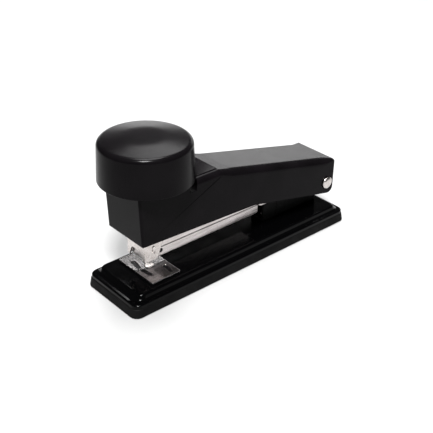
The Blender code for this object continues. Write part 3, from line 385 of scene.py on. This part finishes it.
# ---- anvil and its post ----
# The anvil is a hardened steel plate, ground and polished bright, with two pairs of clinching
# grooves. It turns on a riveted post, whose button under the base frees it against a spring.
ANVIL_Y, ANVIL_LOW, ANVIL_HIGH = -62.2, 12.6, 14.1
ANVIL_HALF_WIDTH, ANVIL_HALF_DEPTH = 17.2, 10.8
GROOVE_R, GROOVE_DEPTH = 1.4, 0.6


def oval(x, y, half, radius, turn, steps=10):
    """Outline of a slot with round ends, half long each way, turned by an angle in degrees."""
    ends = [np.linspace(s - pi / 2, s + pi / 2, steps + 1) for s in (0, pi)]
    u = np.concatenate([sign * half + radius * np.cos(end) for sign, end in zip((1, -1), ends)])
    v = np.concatenate([radius * np.sin(end) for end in ends])
    c, s = cos(radians(turn)), sin(radians(turn))
    return np.stack([x + u * c - v * s, y + u * s + v * c], axis=1)


plate = rounded([(x * ANVIL_HALF_WIDTH, ANVIL_Y + y * ANVIL_HALF_DEPTH)
                 for x, y in ((-1, -1), (1, -1), (1, 1), (-1, 1))], 0.8)
anvil = add_shape("polished_anvil", *slab(plate, ANVIL_LOW, ANVIL_HIGH, "Z", 0.25, 4))
groove_floor = ANVIL_HIGH - GROOVE_DEPTH
grooves = [slab(oval(s * 5.3, -68.6, 3.3, GROOVE_R, s * 9), groove_floor, 16, "Z") for s in (1, -1)]
grooves += [slab(oval(s * 10.4, -55.8, 3.2, GROOVE_R, s * -6), groove_floor, 16, "Z") for s in (1, -1)]
cut(anvil, round_bar(2.6, 10, 16, "Z", (0, ANVIL_Y)),
    round_bar(3.4, ANVIL_HIGH - 0.8, 16, "Z", (0, ANVIL_Y)), *grooves)
soften(anvil, 0.12, 50)
# Painted shade: the upward faces on the groove floors are picked out here, to take a near-black metal in place of
# the bright steel.
heights = np.array([face.center.z for face in anvil.data.polygons])
level = np.array([face.normal.z for face in anvil.data.polygons])
in_groove = (level > 0.9) & (heights < (ANVIL_HIGH - 0.3) * MM)
mirror = new_finish("polished_steel", (0.52, 0.50, 0.50), 0.14, 1.0)
tint(mirror, grain(mirror, 5.0, detail=4), (0.47, 0.45, 0.45), (0.57, 0.55, 0.55))
polish(mirror, grain(mirror, 0.4, (12, 1, 1), detail=3), 0.11, 0.18)
relief(mirror, grain(mirror, 0.15, (30, 1, 1), detail=2), 0.0003)
dress(anvil, mirror, "anvil", "polished_steel", "anvil_plate")
# Painted shade: a near-black metal that darkens the groove floors the way shade in the grooves would.
painted_shade = new_finish("painted_shade_black", (0.02, 0.019, 0.02), 0.35, 1.0)
tint(painted_shade, grain(painted_shade, 0.8, detail=4), (0.008, 0.008, 0.008), (0.035, 0.033, 0.035))
polish(painted_shade, grain(painted_shade, 0.5), 0.25, 0.5)
anvil.data.materials.append(painted_shade)
anvil.data.polygons.foreach_set("material_index", in_groove.astype(np.int32))
peened = rounded([(0, 1.0), (6.0, 1.0), (6.0, 3.0), (2.3, 3.0), (2.3, 13.6), (3.1, 13.6), (3.0, 14.02), (0, 14.1)],
                 [0, 0.5, 0.4, 0.2, 0, 0.1, 0.2, 0], 6, closed=False)
post = add_shape("anvil_button_post", *turned(peened, 0, ANVIL_Y, steps=64))
dress(post, nickel, "anvil_lifter", "nickelled_steel", "anvil_post")
spring = add_shape("button_spring", *coil(4.2, 0.8, 3.3, 11.0, 4, across=(0, ANVIL_Y)))
dress(spring, steel, "base", "spring_steel", "anvil_spring")
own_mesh(spring)

# ---- arm housing and head deck ----
# One moulding of satin black plastic makes the head, the sloping arm and both side walls. The
# tower on its head is trimmed round for the knob, whose skirt has a round well to drop into.
KNOB_Y = -62.85
WALL = 1.6
TOWER_R, WELL_R = 25.5, 29.6
TOWER_TOP, WELL_FLOOR = 84.0, 65.0
SHOULDER = 71.7
HEAD_FRONT, TOWER_FRONT = -79.1, -81.3
SLOPE_FRONT, SLOPE_TOP = -10.2, 68.9
SHOULDER_REAR = -19.9
RECESS_HALF, DECK_HALF = 13.5, 13.2
tower_rear = KNOB_Y + sqrt(WELL_R ** 2 - ARM_HALF ** 2) - 0.5
REAR_Y, REAR_TOP = 84.5, 47.2
slope = (SLOPE_TOP - REAR_TOP) / (REAR_Y - SLOPE_FRONT)
corners = [(HEAD_FRONT, 40.9), (9.6, 37.5), (REAR_Y, 21.0), (REAR_Y, REAR_TOP), (REAR_Y - 9, REAR_TOP + 9 * slope),
           (SLOPE_FRONT, SLOPE_TOP), (SHOULDER_REAR, SHOULDER), (tower_rear, SHOULDER), (tower_rear, TOWER_TOP),
           (TOWER_FRONT, TOWER_TOP)]
side = rounded(corners, [0.6, 6.0, 4.4, 2.4, 0, 4.0, 0.6, 0, 0, 0], 12)
top_edge, rear_edge, shoulder_edge, front_edge, low_edge = 5.2, 1.9, 4.0, 1.4, 0.5
rims = np.concatenate([np.linspace(front_edge, low_edge, 13), np.full(26, low_edge),
                       np.linspace(low_edge, rear_edge, 13), np.full(14, top_edge), np.full(13, shoulder_edge),
                       [shoulder_edge, front_edge, front_edge]])
housing = add_shape("arm_moulding", *slab(side, -ARM_HALF, ARM_HALF, "X", rims, 12))
rear_in, front_in = REAR_Y - WALL, HEAD_FRONT + WALL
drop = WALL * sqrt(1 + slope ** 2)
half_in = ARM_HALF - WALL
tower_in = KNOB_Y + sqrt((TOWER_R - WALL) ** 2 - half_in ** 2)
well_in = KNOB_Y + WELL_R + WALL
cavity = rounded([(front_in, 10), (90, 10), (90, 36.2), (rear_in, 36.2),
                  (rear_in, REAR_TOP + slope * WALL - drop), (SLOPE_FRONT, SLOPE_TOP - drop),
                  (-18.3, SLOPE_TOP), (well_in, SLOPE_TOP), (well_in, WELL_FLOOR - WALL),
                  (tower_in, WELL_FLOOR - WALL), (tower_in, 89), (-81.56 + WALL, 89), (front_in, 40.9)],
                 [0, 0, 0, 0, 0.9, 2.0, 0, 0, 0, 0, 0, 0, 0], 8)
well_step = np.array([(TOWER_R, WELL_FLOOR), (WELL_R, WELL_FLOOR), (WELL_R, 90), (TOWER_R, 90)])
ring_radius, ring_height = well_step.T[:, :, None]
angle = np.arange(160) * 2 * pi / 160
well = wrap(np.stack([ring_radius * np.cos(angle), KNOB_Y + ring_radius * np.sin(angle),
                      ring_height + 0 * angle], axis=-1), loop=True)
cut(housing, round_bar(PIN_HOLE_R, -20, 20, "X", (PIN_Y, PIN_Z)), well,
    block(-RECESS_HALF, RECESS_HALF, tower_rear + 0.1, SHOULDER_REAR, SHOULDER - 1.3, 80),
    slab(cavity, -half_in, half_in, "X"))
soften(housing, 0.18, 50)
satin = new_finish("satin_black", (0.0022, 0.0018, 0.0022), 0.22, 0.0, {"Specular IOR Level": 0.04})
tint(satin, grain(satin, 18.0, detail=5), (0.0018, 0.0015, 0.0018), (0.0028, 0.0023, 0.0028))
polish(satin, grain(satin, 7.0, detail=5), 0.21, 0.235)
relief(satin, grain(satin, 0.22, detail=2), 0.006)
relief(satin, grain(satin, 12.0, detail=1), 0.012)
dress(housing, satin, "arm", "satin_black", "arm_housing")
reach = WELL_R + 0.6
start = asin(DECK_HALF / reach)
sweep = np.linspace(start, -start, 41)
curve = np.stack([reach * np.sin(sweep), KNOB_Y + reach * np.cos(sweep)], axis=1)
deck_rear = [(-DECK_HALF, -21.2), (-DECK_HALF, -20.2), (DECK_HALF, -20.2), (DECK_HALF, -21.2)]
plan = np.concatenate([rounded(deck_rear, [0, 0.8, 0.8, 0], 6, closed=False), curve])
deck = add_shape("shoulder_plate", *slab(plan, 70.7, 72.3, "Z", 0.35, 4))
dress(deck, satin, "arm", "satin_black", "head_deck")

# ---- plunger guide, stem, blade and return spring ----
# A grey moulded block fills the tower and guides the stem. The stem carries the driver blade on
# its foot and stands on a coil spring, which lifts the knob after each stroke.
for name in ("plunger_stem", "stem_pin", "driver_rivet", "nose_rivet_left", "nose_rivet_right", "staple_strip"):
    keep(name, zinc)
blued = new_finish("blued_blade", (0.30, 0.29, 0.30), 0.25, 1.0)
tint(blued, grain(blued, 3.0, detail=4), (0.22, 0.21, 0.23), (0.38, 0.36, 0.36))
polish(blued, grain(blued, 0.5, (1, 1, 14)), 0.16, 0.34)
keep("driver_blade", blued)
LIFT_FOOT = 66.3
lift = add_shape("knob_spring", *coil(8.2, 1.4, LIFT_FOOT, 94.5, 6.5, across=(0, KNOB_Y)))
dress(lift, steel, "arm", "spring_steel", "return_spring")
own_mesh(lift)

# ---- knob ----
# The palm knob is one thick moulding in satin black: a plain drum with a rounded rim and a
# slightly crowned top. It is hollow inside, round a boss that is pinned to the stem.
RIM_R, TOP_R, RIM, ROOF = 28.75, 27.7, 75.0, 94.8
BOSS_R, BORE_R, BOSS_LOW = 6.9, 5.3, 86.0
shell = rounded([(0, 101.4), (12.0, 101.1), (TOP_R, 99.2), (RIM_R, RIM), (27.0, RIM), (25.9, ROOF), (BOSS_R, ROOF),
                 (BOSS_R, BOSS_LOW), (BORE_R, BOSS_LOW), (BORE_R, ROOF), (0, ROOF)],
                [0, 60, 3.4, 0.45, 0.45, 1.5, 0.5, 0.3, 0.3, 0.2, 0], 12, closed=False)
knob = add_shape("palm_knob", *turned(shell, 0, KNOB_Y, steps=144))
moulded = new_finish("moulded_black", (0.0022, 0.0018, 0.0022), 0.21, 0.0, {"Specular IOR Level": 0.05})
tint(moulded, grain(moulded, 16.0, detail=5), (0.0018, 0.0015, 0.0018), (0.0027, 0.0023, 0.0027))
polish(moulded, grain(moulded, 6.0, detail=5), 0.20, 0.225)
relief(moulded, grain(moulded, 0.25, detail=3), 0.010)
dress(knob, moulded, "plunger", "knob_black", "knob")

# ---- nose ----
# The nose is folded from nickelled steel strip: a front plate with the staple mouth, and a leg
# down each side of the magazine. Each leg has an upright nib pressed out of it.
nose_front, nose_low, nose_high = -71.7, 22.9, 47.0
LEG_REAR = -58.0
leg = rounded([(nose_front, nose_low), (-62.5, nose_low), (LEG_REAR, 33.5), (LEG_REAR, nose_high),
               (nose_front, nose_high)], [0.5, 0.5, 1.2, 0.5, 0.5], 6)
nose_half = 8.95
nose_in = 7.95
mouth_top = nose_low + 6.6
mouth = rounded([(-6.7, 10), (-6.7, nose_low + 1), (-4.2, mouth_top), (4.2, mouth_top), (6.7, nose_low + 1),
                 (6.7, 10)], [0, 1.0, 1.5, 1.5, 1.0, 0], 6)
nose = add_shape("folded_nose", *slab(leg, -nose_half, nose_half, "X", 0.6, 5))
cut(nose, block(-nose_in, nose_in, nose_front + 1.0, -50, 10, 60),
    slab(mouth, -80, nose_front + 1.5, "Y"), round_bar(1.9, -12, 12, "X", (-64.7, 44.3)))
soften(nose, 0.1, 50)
dress(nose, nickel, "arm", "nickelled_steel", "nose_piece")
nib = rounded([(-66.3, 28.0), (-64.1, 28.0), (-64.1, 33.2), (-66.3, 33.2)], 1.09, 8)
for name, low, high in (("left", nose_half - 0.05, nose_half + 0.5),
                        ("right", -nose_half - 0.5, -nose_half + 0.05)):
    bead = add_shape(f"nose_nib_{name}", *slab(nib, low, high, "X", 0.25, 4))
    dress(bead, nickel, "arm", "nickelled_steel")

# ---- magazine ----
# Two folded channels of bright nickelled strip close over each other: the lower one carries the
# staples' points, and the upper one runs on to the rear, where its ears turn on the pin. A near-black
# disc sits in a hole in each wall of the lower one: painted shade for the dark inside seen through it.
MAG_FRONT, MAG_REAR, MAG_HALF, MAG_SHEET = -69.5, 21.5, 7.65, 0.9
MAG_IN = MAG_HALF - MAG_SHEET
MAG_LOW, LIP_TOP, MAG_FLOOR = 22.9, 29.2, 23.8
CROSS_HOLE = (-59.0, 27.1)
strip = new_finish("nickelled_strip", (0.60, 0.56, 0.55), 0.3, 1.0)
tint(strip, grain(strip, 3.0, (1, 6, 1), detail=5), (0.53, 0.49, 0.48), (0.67, 0.63, 0.62))
polish(strip, grain(strip, 0.5, (1, 20, 1), detail=3), 0.22, 0.40)
relief(strip, grain(strip, 0.2, (1, 25, 1), detail=2), 0.0012)
section = rounded([(-MAG_HALF, LIP_TOP), (-MAG_HALF, MAG_LOW), (MAG_HALF, MAG_LOW), (MAG_HALF, LIP_TOP),
                   (MAG_IN, LIP_TOP), (MAG_IN, MAG_FLOOR), (-MAG_IN, MAG_FLOOR), (-MAG_IN, LIP_TOP)],
                  [0.2, 1.0, 1.0, 0.2, 0.2, 0.3, 0.3, 0.2], 6)
channel = add_shape("lower_channel", *slab(section, MAG_FRONT, MAG_REAR, "Y", 0.1, 2))
cut(channel, round_bar(1.5, -10, 10, "X", CROSS_HOLE))
dress(channel, strip, "arm", "nickelled_steel", "magazine_channel")
# Painted shade: a near-black disc in each hole of the lower channel, where the inside shows dark.
for name, low, high in (("left", 6.8, 7.3), ("right", -7.3, -6.8)):
    hole_shade_disc = add_shape(f"painted_hole_shade_{name}", *round_bar(1.46, low, high, "X", CROSS_HOLE))
    dress(hole_shade_disc, painted_shade, "arm", "spring_steel")
EAR_REAR, EAR_LOW, FRAME_TOP = 81.7, 27.1, 37.8
ears = rounded([(MAG_FRONT, 29.5), (MAG_REAR, 29.5), (24.0, 27.5), (PIN_Y, EAR_LOW), (EAR_REAR, EAR_LOW),
                (EAR_REAR, FRAME_TOP), (MAG_FRONT, FRAME_TOP)], [0, 1.0, 3.0, 0, 3.9, 1.0, 0], 8)
upper = add_shape("upper_frame", *slab(ears, -MAG_HALF, MAG_HALF, "X", 0.4, 4))
cut(upper, block(-MAG_IN, MAG_IN, -80, 90, 10, 36.9),
    round_bar(PIN_HOLE_R, -10, 10, "X", (PIN_Y, PIN_Z)))
soften(upper, 0.1, 50)
dress(upper, strip, "arm", "nickelled_steel", "inner_frame")
for name in ("magazine_core", "guide_rod"):
    keep(name, strip)
PUSHER_REAR, PUSHER_Z = 16.0, 33.3
pusher = add_shape("strip_spring", *coil(1.85, 0.5, -14.6, PUSHER_REAR, 16, "Y", (0, PUSHER_Z),
                                         per_turn=24, sides=8))
dress(pusher, steel, "arm", "spring_steel", "follower_spring")
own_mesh(pusher)

# ---- floor, lights and camera ----
# The stapler stands on a plain pale floor under soft studio lights: one in front, one overhead,
# a long strip behind it, whose light the glossy black pieces mirror, and one on the far floor.
FLOOR_HALF, FLOOR_Z = 4000, -0.2
floor = add_shape("floor", [(x * FLOOR_HALF, y * FLOOR_HALF, FLOOR_Z)
                            for x, y in ((-1, -1), (1, -1), (1, 1), (-1, 1))], [(0, 1, 2, 3)])
pale = new_finish("pale_floor", (0.31, 0.31, 0.31), 0.9, 0.0, {"Specular IOR Level": 0.0})
tint(pale, grain(pale, 400.0), (0.305, 0.305, 0.305), (0.315, 0.315, 0.315))
floor.data.materials.append(pale)


def add_light(name, place, target, size, power, height=None):
    """A soft rectangular light at a place, turned to face a target; places are in millimetres."""
    lamp = bpy.data.lights.new(name, "AREA")
    lamp.shape, lamp.size, lamp.size_y, lamp.energy = "RECTANGLE", size * MM, (height or size) * MM, power
    light = bpy.data.objects.new(name, lamp)
    light.location = Vector(place) * MM
    light.rotation_euler = (Vector(target) - Vector(place)).to_track_quat("-Z", "Y").to_euler()
    bpy.context.scene.collection.objects.link(light)
    return light


AZIMUTH, ELEVATION, ROLL = radians(47.57), radians(29.3), radians(1.41)
back = Vector((sin(AZIMUTH) * cos(ELEVATION), -cos(AZIMUTH) * cos(ELEVATION), sin(ELEVATION)))
back_flat = Vector((sin(AZIMUTH), -cos(AZIMUTH), 0))
add_light("front softbox", back_flat * 1000 + Vector((0, 0, 1750)), (0, 0, 0), 400, 105)
add_light("backdrop strip", (-1600, 1600, 400), (0, 0, 60), 2600, 13, 380)
add_light("far floor light", (-1100, 1100, 1500), (-1100, 1100, 0), 900, 22)
add_light("overhead softbox", (-250, 250, 1700), (-100, 100, 0), 700, 45)
world = bpy.data.worlds.new("studio")
world.use_nodes = True
world.node_tree.nodes["Background"].inputs["Color"].default_value = (1.0, 1.0, 1.0, 1.0)
world.node_tree.nodes["Background"].inputs["Strength"].default_value = 0.10
bpy.context.scene.world = world
bpy.context.scene.view_settings.view_transform = "Standard"

DISTANCE, AIM = 539.4, Vector((0, 0, 36.8))
ahead = -back
right = ahead.cross(Vector((0, 0, 1))).normalized()
up = right.cross(ahead)
across = cos(ROLL) * right + sin(ROLL) * up
upward = cos(ROLL) * up - sin(ROLL) * right
lens = bpy.data.cameras.new("camera")
lens.sensor_width = 36.0
lens.lens = 69.65626
lens.shift_x, lens.shift_y = -0.0215, -0.0363
lens.clip_start, lens.clip_end = 0.05, 20.0
camera = bpy.data.objects.new("camera", lens)
turn = Matrix((across, upward, back)).transposed().to_4x4()
camera.matrix_world = Matrix.Translation((AIM + back * DISTANCE) * MM) @ turn
bpy.context.scene.collection.objects.link(camera)
bpy.context.scene.camera = camera
